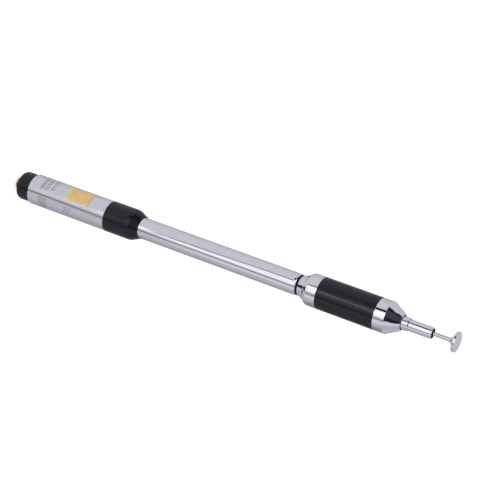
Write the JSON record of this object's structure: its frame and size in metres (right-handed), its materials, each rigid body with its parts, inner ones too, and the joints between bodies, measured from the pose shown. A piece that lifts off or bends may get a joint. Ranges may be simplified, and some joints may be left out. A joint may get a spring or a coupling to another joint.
{
  "type": "telescopic whip antenna",
  "caption": "Closed telescopic whip antenna: threaded coaxial stud, labelled barrel, chrome mast, black loading coil between chrome ferrules, and a thin whip with a disc tip.",
  "frame": {"origin": "centre of the coaxial stud's end face", "axes": "+Z along the antenna from the stud to the tip; the sticker faces between -Y and -X and the label's seam faces +Y"},
  "size_m": [0.0142, 0.0142, 0.2224],
  "materials": {
    "gold_plating": "bright gold plating on turned brass",
    "insulator": "white fluoropolymer, satin",
    "plated_steel": "zinc plated",
    "black_plastic": "satin black moulded plastic",
    "barrel_metal": "drawn aluminium",
    "label_foil": "silver polyester foil with grey print",
    "hologram_foil": "gold diffraction foil",
    "brass": "turned brass",
    "copper_wire": "enamelled copper wire",
    "spring_bronze": "phosphor bronze",
    "chrome": "polished chrome plating on brass",
    "rubber": "black rubber"
  },
  "bodies": {
    "base": {"sma_shell": "gold_plating", "sma_dielectric": "insulator", "sma_center_contact": "gold_plating", "lock_washer": "plated_steel", "sma_nut": "gold_plating", "base_cap": "black_plastic", "base_barrel": "barrel_metal", "label_wrap": "label_foil", "hologram_sticker": "hologram_foil", "end_sleeve": "black_plastic", "mast_bush": "insulator", "matching_coil_former": "insulator", "matching_coil": "copper_wire", "mast_foot_plug": "brass", "mast_tube_1": "chrome"},
    "mast_slider_2": {"mast_contact_spring_2": "spring_bronze"},
    "mast_section_2": {"mast_tube_2": "chrome"},
    "mast_slider_3": {"mast_contact_spring_3": "spring_bronze"},
    "mast_section_3": {"mast_tube_3": "chrome"},
    "mast_slider_4": {"mast_contact_spring_4": "spring_bronze"},
    "coil_unit": {"mast_tube_4": "chrome", "bumper_ring": "rubber", "lower_ferrule": "chrome", "coil_sleeve": "black_plastic", "coil_former": "insulator", "loading_coil": "copper_wire", "upper_ferrule": "chrome", "whip_liner": "insulator", "whip_tube_1": "chrome"},
    "whip_slider_2": {"whip_contact_spring_2": "spring_bronze"},
    "whip_section_2": {"whip_tube_2": "chrome"},
    "whip_slider_3": {"whip_contact_spring_3": "spring_bronze"},
    "whip_section_3": {"whip_tube_3": "chrome"},
    "whip_slider_4": {"whip_contact_spring_4": "spring_bronze"},
    "whip_section_4": {"whip_tube_4": "chrome"},
    "whip_slider_5": {"whip_contact_spring_5": "spring_bronze"},
    "whip_tip": {"whip_rod": "chrome", "tip_button": "chrome"}
  },
  "joints": [
    {"name": "mast_2_slide", "type": "slide", "parent": "base", "child": "mast_slider_2", "axis": [0, 0, 1], "range_m": [0, 0.1037]},
    {"name": "mast_2_turn", "type": "hinge", "parent": "mast_slider_2", "child": "mast_section_2", "pos_m": [0, 0, 0], "axis": [0, 0, 1], "continuous": true},
    {"name": "mast_3_slide", "type": "slide", "parent": "mast_section_2", "child": "mast_slider_3", "axis": [0, 0, 1], "range_m": [0, 0.102]},
    {"name": "mast_3_turn", "type": "hinge", "parent": "mast_slider_3", "child": "mast_section_3", "pos_m": [0, 0, 0], "axis": [0, 0, 1], "continuous": true},
    {"name": "coil_unit_slide", "type": "slide", "parent": "mast_section_3", "child": "mast_slider_4", "axis": [0, 0, 1], "range_m": [0, 0.1003]},
    {"name": "coil_unit_turn", "type": "hinge", "parent": "mast_slider_4", "child": "coil_unit", "pos_m": [0, 0, 0], "axis": [0, 0, 1], "continuous": true},
    {"name": "whip_2_slide", "type": "slide", "parent": "coil_unit", "child": "whip_slider_2", "axis": [0, 0, 1], "range_m": [0, 0.0775]},
    {"name": "whip_2_turn", "type": "hinge", "parent": "whip_slider_2", "child": "whip_section_2", "pos_m": [0, 0, 0], "axis": [0, 0, 1], "continuous": true},
    {"name": "whip_3_slide", "type": "slide", "parent": "whip_section_2", "child": "whip_slider_3", "axis": [0, 0, 1], "range_m": [0, 0.0863]},
    {"name": "whip_3_turn", "type": "hinge", "parent": "whip_slider_3", "child": "whip_section_3", "pos_m": [0, 0, 0], "axis": [0, 0, 1], "continuous": true},
    {"name": "whip_4_slide", "type": "slide", "parent": "whip_section_3", "child": "whip_slider_4", "axis": [0, 0, 1], "range_m": [0, 0.0844]},
    {"name": "whip_4_turn", "type": "hinge", "parent": "whip_slider_4", "child": "whip_section_4", "pos_m": [0, 0, 0], "axis": [0, 0, 1], "continuous": true},
    {"name": "tip_slide", "type": "slide", "parent": "whip_section_4", "child": "whip_slider_5", "axis": [0, 0, 1], "range_m": [0, 0.0824]},
    {"name": "tip_turn", "type": "hinge", "parent": "whip_slider_5", "child": "whip_tip", "pos_m": [0, 0, 0], "axis": [0, 0, 1], "continuous": true}
  ]
}
